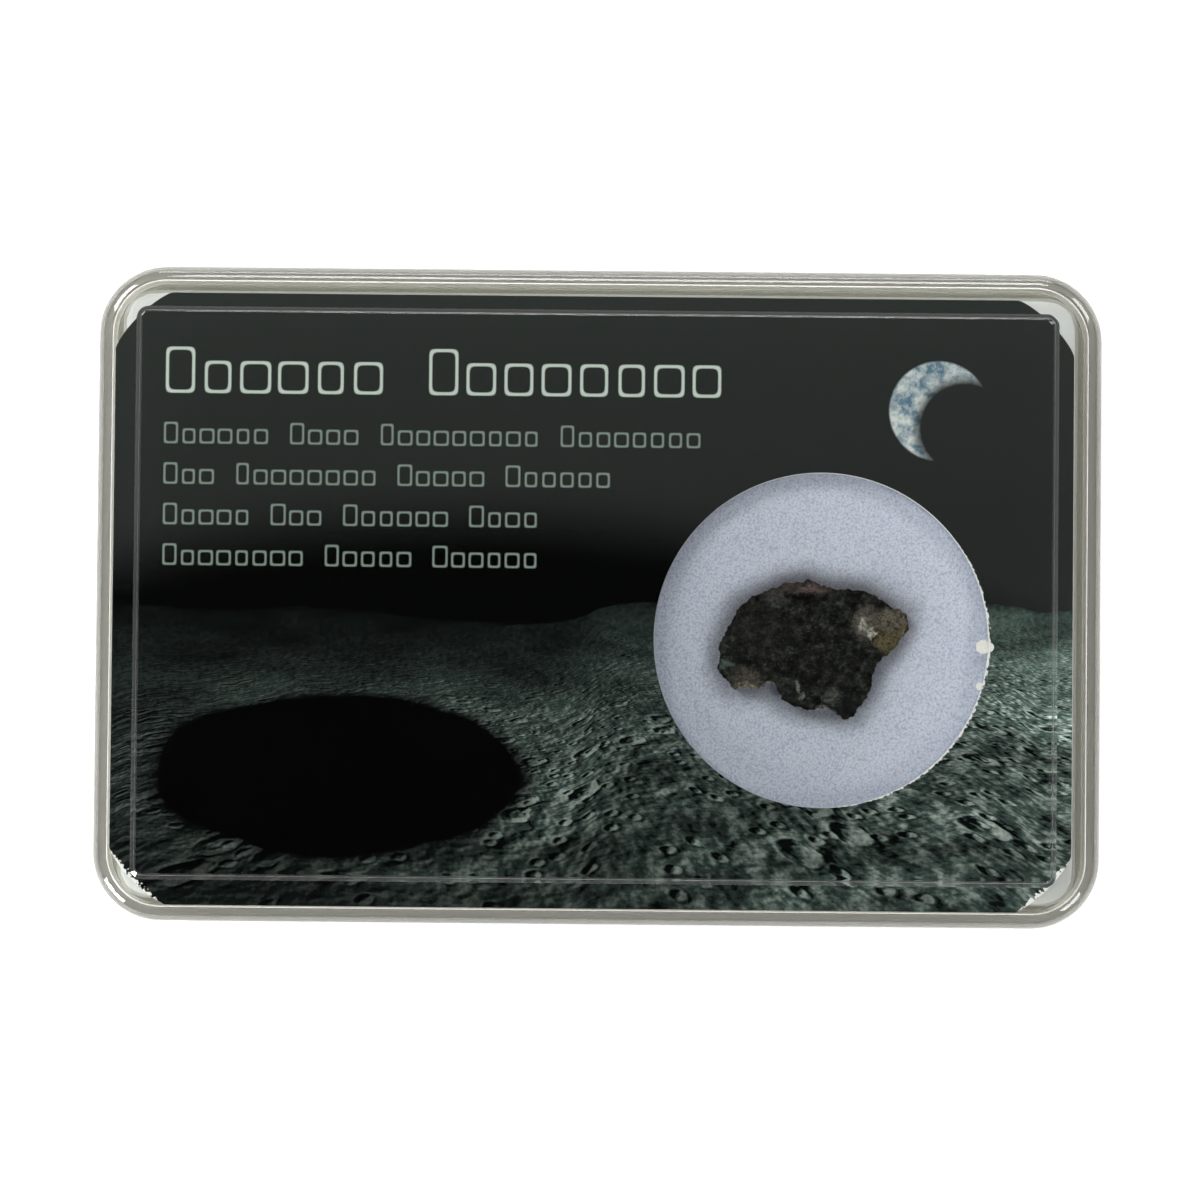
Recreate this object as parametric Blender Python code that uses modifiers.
"""Lunar meteorite slice in a flat, clear display case. Metres, +Z up, origin in the middle of the underside.

The case lies on its back, closed. The printed card faces up, its long side runs along X and its top edge is
at +Y. From the bottom up come the tray, the foam, the card with its round window, the stone in the window,
and over them all the lift-off lid.
"""

import math

import bmesh
import bpy
from mathutils import Vector, geometry, noise

MM = 0.001

# Driving dimensions of the case
CASE_LENGTH = 89.0 * MM
CASE_WIDTH = 58.0 * MM
CASE_HEIGHT = 10.6 * MM
CASE_CORNER = 6.0 * MM
WALL = 1.1 * MM
CLEARANCE = 0.3 * MM

# Tray
TRAY_FLOOR = 1.2 * MM
SEAM_HEIGHT = 4.0 * MM
TRAY_TOP = 6.8 * MM
TRAY_FOOT_ROUND = 1.0 * MM
TRAY_RIM_ROUND = 0.25 * MM

# Lid
PANEL_RISE = 0.4 * MM
PANEL_INSET = 3.8 * MM
PANEL_CORNER = 1.6 * MM
PANEL_ROUND = 0.2 * MM
LID_PLATE = 1.0 * MM
LID_OUTER_ROUND = 1.6 * MM
LID_INNER_ROUND = 1.5 * MM

# Foam, card and window
FOAM_ROUND = 0.4 * MM
CARD_LENGTH = 85.0 * MM
CARD_WIDTH = 54.1 * MM
CARD_THICKNESS = 1.0 * MM
CARD_CORNER = 4.5 * MM
CARD_CENTRE = (-0.5 * MM, -0.42 * MM)
WINDOW_DIAMETER = 29.7 * MM
WINDOW_CENTRE = (19.8 * MM, -3.65 * MM)

# Stone: its broken outline about its own middle, clockwise from the upper left, in millimetres
STONE_CENTRE = (19.1 * MM, -4.5 * MM)
STONE_THICKNESS = 2.0 * MM
STONE_SINK = 0.5 * MM
STONE_OUTLINE = (
    (-6.3, 4.1), (-4.5, 5.1), (-2.5, 5.9), (-0.5, 6.2), (1.7, 5.4), (4.7, 5.3), (6.4, 4.3),
    (8.3, 3.1), (8.5, 1.9), (7.1, 0.1), (5.7, -1.1), (5.2, -2.8), (4.6, -4.4), (3.7, -5.8),
    (3.1, -6.2), (2.4, -5.8), (1.6, -5.2), (-0.1, -5.4), (-1.7, -5.0), (-2.7, -4.4), (-3.5, -2.8),
    (-4.9, -3.4), (-7.2, -3.4), (-8.5, -1.8), (-8.2, 0.6), (-7.0, 3.0),
)
STONE_GRAIN = 0.46 * MM
STONE_TAPER = 0.07
CRUST_LINE = ((-6.0, 4.3), (-2.5, 5.9), (-0.5, 6.2), (1.7, 5.4))
CRUST_WIDTH = 1.15 * MM
CRUST_DROP = 0.45 * MM
CREVICE_LINE = ((-2.1, 4.75), (1.0, 4.95))
CREVICE_WIDTH = 0.5 * MM
CREVICE_DEPTH = 0.5 * MM
TIP_START = 5.2 * MM
TIP_SLOPE = 0.16
ROUGHNESS_SIZE = 1.5 * MM
ROUGHNESS_DEPTH = 0.14 * MM
NOISE_SHIFT = Vector((31.7, 12.4, 5.9))

# Hollow in the foam
HOLLOW_ROUND = 0.5 * MM
HOLLOW_DEPTH = STONE_SINK + CLEARANCE

# Fineness of the round forms
CORNER_STEPS = 10
RIM_STEPS = 4
WINDOW_STEPS = 80
TINY = 1e-6

# Levels and insets that follow from the above
LEDGE_TOP = CASE_HEIGHT - PANEL_RISE
CEILING = LEDGE_TOP - LID_PLATE
NEST_INSET = WALL + CLEARANCE
TRAY_INSET = NEST_INSET + WALL
FOAM_INSET = TRAY_INSET + CLEARANCE
FOAM_BOTTOM = TRAY_FLOOR + CLEARANCE
FOAM_TOP = TRAY_TOP
CARD_BOTTOM = FOAM_TOP + CLEARANCE
CARD_TOP = CARD_BOTTOM + CARD_THICKNESS
STONE_BOTTOM = FOAM_TOP - STONE_SINK
STONE_TOP = STONE_BOTTOM + STONE_THICKNESS
STONE_MIDDLE = (STONE_BOTTOM + STONE_TOP) / 2
CUT_REACH = 2.0 * MM


def clear_scene():
    for thing in list(bpy.data.objects):
        bpy.data.objects.remove(thing, do_unlink=True)


def new_collection(name):
    group = bpy.data.collections.new(name)
    bpy.context.scene.collection.children.link(group)
    return group


def material(name, colour, roughness, transmission=0.0, ior=1.5):
    made = bpy.data.materials.new(name)
    made.use_nodes = True
    shader = made.node_tree.nodes["Principled BSDF"]
    shader.inputs["Base Color"].default_value = (*colour, 1.0)
    shader.inputs["Roughness"].default_value = roughness
    shader.inputs["Metallic"].default_value = 0.0
    shader.inputs["Transmission Weight"].default_value = transmission
    shader.inputs["IOR"].default_value = ior
    return made


def add_object(bm, name, group, surface=None):
    mesh = bpy.data.meshes.new(name)
    bmesh.ops.recalc_face_normals(bm, faces=bm.faces)
    bm.to_mesh(mesh)
    bm.free()
    thing = bpy.data.objects.new(name, mesh)
    group.objects.link(thing)
    if surface:
        mesh.materials.append(surface)
        mesh.shade_smooth()
        mesh.set_sharp_from_angle(angle=math.radians(35))
    else:
        thing.hide_render = True
        thing.display_type = "WIRE"
    return thing


def rounded_slab(length, width, low, high, corner, top_round=0.0, foot_round=0.0, centre=(0.0, 0.0)):
    """A flat slab between two levels, with round corners seen from above and, if asked, rounded rims."""
    bm = bmesh.new()
    bmesh.ops.create_cube(bm, size=1.0)
    bmesh.ops.scale(bm, vec=(length, width, high - low), verts=bm.verts)
    bmesh.ops.translate(bm, vec=(*centre, (low + high) / 2), verts=bm.verts)
    upright = [e for e in bm.edges if abs(e.verts[0].co.z - e.verts[1].co.z) > TINY]
    bmesh.ops.bevel(bm, geom=upright, offset=corner, segments=CORNER_STEPS, profile=0.5, affect="EDGES")
    for level, radius in ((high, top_round), (low, foot_round)):
        if radius > 0:
            rim = [e for e in bm.edges if all(abs(v.co.z - level) < TINY for v in e.verts)]
            bmesh.ops.bevel(bm, geom=rim, offset=radius, segments=RIM_STEPS, profile=0.5, affect="EDGES")
    return bm


def case_slab(inset, low, high, **rounds):
    """A slab that follows the outside of the case, further in by the inset."""
    length = CASE_LENGTH - 2 * inset
    width = CASE_WIDTH - 2 * inset
    return rounded_slab(length, width, low, high, CASE_CORNER - inset, **rounds)


def combine(body, other, operation):
    step = body.modifiers.new(other.name, "BOOLEAN")
    step.operation = operation
    step.object = other
    step.solver = "EXACT"


def outline_mesh(name, grow, middle, half_height, round_off=0.0):
    """The stone's outline as a filled flat curve with thickness, made a mesh at its place in the case."""
    curve = bpy.data.curves.new(name, "CURVE")
    curve.dimensions = "2D"
    curve.fill_mode = "BOTH"
    curve.offset = grow
    curve.bevel_depth = round_off
    curve.bevel_resolution = 2
    curve.extrude = half_height - round_off
    spline = curve.splines.new("POLY")
    spline.points.add(len(STONE_OUTLINE) - 1)
    for point, (x, y) in zip(spline.points, STONE_OUTLINE):
        point.co = (x * MM, y * MM, 0.0, 1.0)
    spline.use_cyclic_u = True
    guide = bpy.data.objects.new(name, curve)
    bpy.context.scene.collection.objects.link(guide)
    guide.location = (*STONE_CENTRE, middle)
    bpy.context.view_layer.update()
    mesh = bpy.data.meshes.new_from_object(guide.evaluated_get(bpy.context.evaluated_depsgraph_get()))
    bm = bmesh.new()
    bm.from_mesh(mesh)
    bmesh.ops.remove_doubles(bm, verts=bm.verts, dist=TINY)
    bmesh.ops.transform(bm, matrix=guide.matrix_world, verts=bm.verts)
    bpy.data.objects.remove(guide, do_unlink=True)
    bpy.data.meshes.remove(mesh)
    return bm


def line_distance(x, y, line):
    """How far a point seen from above lies from a line of points given in millimetres."""
    spot = Vector((x, y, 0.0))
    found = math.inf
    for start, end in zip(line, line[1:]):
        a = Vector((*start, 0.0)) * MM
        b = Vector((*end, 0.0)) * MM
        nearest, part = geometry.intersect_point_line(spot, a, b)
        nearest = a if part < 0 else b if part > 1 else nearest
        found = min(found, (spot - nearest).length)
    return found


def fade(value, width):
    """One at zero, falling smoothly to nothing at the width."""
    part = max(0.0, 1.0 - value / width)
    return part * part * (3.0 - 2.0 * part)


def break_surface(bm):
    """Gives the plain slab of stone its lowered crust, its crevice, its thin tip and its broken surface."""
    bm.normal_update()
    for vert in bm.verts:
        x = vert.co.x - STONE_CENTRE[0]
        y = vert.co.y - STONE_CENTRE[1]
        height = (vert.co.z - STONE_BOTTOM) / STONE_THICKNESS
        drop = CRUST_DROP * fade(line_distance(x, y, CRUST_LINE), CRUST_WIDTH)
        drop += CREVICE_DEPTH * fade(line_distance(x, y, CREVICE_LINE), CREVICE_WIDTH)
        drop += TIP_SLOPE * max(0.0, x - TIP_START)
        shrink = 1.0 - STONE_TAPER * (1.0 - height)
        rough = ROUGHNESS_DEPTH * noise.fractal(vert.co / ROUGHNESS_SIZE + NOISE_SHIFT, 1.0, 2.0, 4)
        vert.co = Vector(
            (STONE_CENTRE[0] + x * shrink, STONE_CENTRE[1] + y * shrink, vert.co.z - drop * height)
        ) + vert.normal * rough
        vert.co.z = min(max(vert.co.z, STONE_BOTTOM), STONE_TOP)


def make_tray(parts, cutters, clear_plastic):
    foot = case_slab(0.0, 0.0, SEAM_HEIGHT, top_round=TRAY_RIM_ROUND, foot_round=TRAY_FOOT_ROUND)
    nest = case_slab(NEST_INSET, SEAM_HEIGHT - WALL, TRAY_TOP, top_round=TRAY_RIM_ROUND)
    space = case_slab(TRAY_INSET, TRAY_FLOOR, TRAY_TOP + CUT_REACH, foot_round=TRAY_FOOT_ROUND)
    tray = add_object(foot, "case_base", parts, clear_plastic)
    combine(tray, add_object(nest, "nesting_wall", cutters), "UNION")
    combine(tray, add_object(space, "tray_space", cutters), "DIFFERENCE")


def make_lid(parts, cutters, clear_plastic):
    skirt_foot = SEAM_HEIGHT + CLEARANCE
    shell = case_slab(0.0, skirt_foot, LEDGE_TOP, top_round=LID_OUTER_ROUND)
    panel = rounded_slab(
        CASE_LENGTH - 2 * PANEL_INSET, CASE_WIDTH - 2 * PANEL_INSET,
        CEILING + LID_PLATE / 2, CASE_HEIGHT, PANEL_CORNER, top_round=PANEL_ROUND,
    )
    space = case_slab(WALL, skirt_foot - CUT_REACH, CEILING, top_round=LID_INNER_ROUND)
    lid = add_object(shell, "case_lid", parts, clear_plastic)
    combine(lid, add_object(panel, "raised_panel", cutters), "UNION")
    combine(lid, add_object(space, "lid_space", cutters), "DIFFERENCE")


def make_foam(parts, cutters, white_foam):
    block = case_slab(FOAM_INSET, FOAM_BOTTOM, FOAM_TOP, top_round=FOAM_ROUND, foot_round=TRAY_FOOT_ROUND)
    foam = add_object(block, "foam_pad", parts, white_foam)
    floor = FOAM_TOP - HOLLOW_DEPTH
    half_height = HOLLOW_DEPTH + HOLLOW_ROUND
    hollow = outline_mesh("hollow", CLEARANCE, floor + half_height, half_height, HOLLOW_ROUND)
    combine(foam, add_object(hollow, "stone_hollow", cutters), "DIFFERENCE")


def make_card(parts, cutters, printed_card):
    sheet = rounded_slab(CARD_LENGTH, CARD_WIDTH, CARD_BOTTOM, CARD_TOP, CARD_CORNER, centre=CARD_CENTRE)
    card = add_object(sheet, "info_card", parts, printed_card)
    punch = bmesh.new()
    bmesh.ops.create_cone(
        punch, cap_ends=True, segments=WINDOW_STEPS, radius1=WINDOW_DIAMETER / 2,
        radius2=WINDOW_DIAMETER / 2, depth=CARD_THICKNESS + 2 * CUT_REACH,
    )
    bmesh.ops.translate(punch, vec=(*WINDOW_CENTRE, (CARD_BOTTOM + CARD_TOP) / 2), verts=punch.verts)
    combine(card, add_object(punch, "window_punch", cutters), "DIFFERENCE")


def make_stone(parts, dark_stone):
    slab = outline_mesh("slab", 0.0, STONE_MIDDLE, STONE_THICKNESS / 2)
    stone = add_object(slab, "slab_blank", parts)
    grain = stone.modifiers.new("grain", "REMESH")
    grain.mode = "VOXEL"
    grain.voxel_size = STONE_GRAIN
    bpy.context.view_layer.update()
    fine = bpy.data.meshes.new_from_object(stone.evaluated_get(bpy.context.evaluated_depsgraph_get()))
    bpy.data.objects.remove(stone, do_unlink=True)
    bm = bmesh.new()
    bm.from_mesh(fine)
    bpy.data.meshes.remove(fine)
    break_surface(bm)
    add_object(bm, "meteorite_slice", parts, dark_stone)


def main():
    clear_scene()
    parts = new_collection("lunar_meteorite_slice")
    cutters = new_collection("cutters")
    cutters.hide_render = True
    clear_plastic = material("clear_polystyrene", (0.95, 0.95, 0.93), 0.03, transmission=1.0, ior=1.59)
    make_tray(parts, cutters, clear_plastic)
    make_lid(parts, cutters, clear_plastic)
    make_foam(parts, cutters, material("white_foam", (0.62, 0.64, 0.72), 0.9))
    make_card(parts, cutters, material("printed_card", (0.03, 0.035, 0.035), 0.45))
    make_stone(parts, material("dark_stone", (0.013, 0.013, 0.012), 0.7))


main()
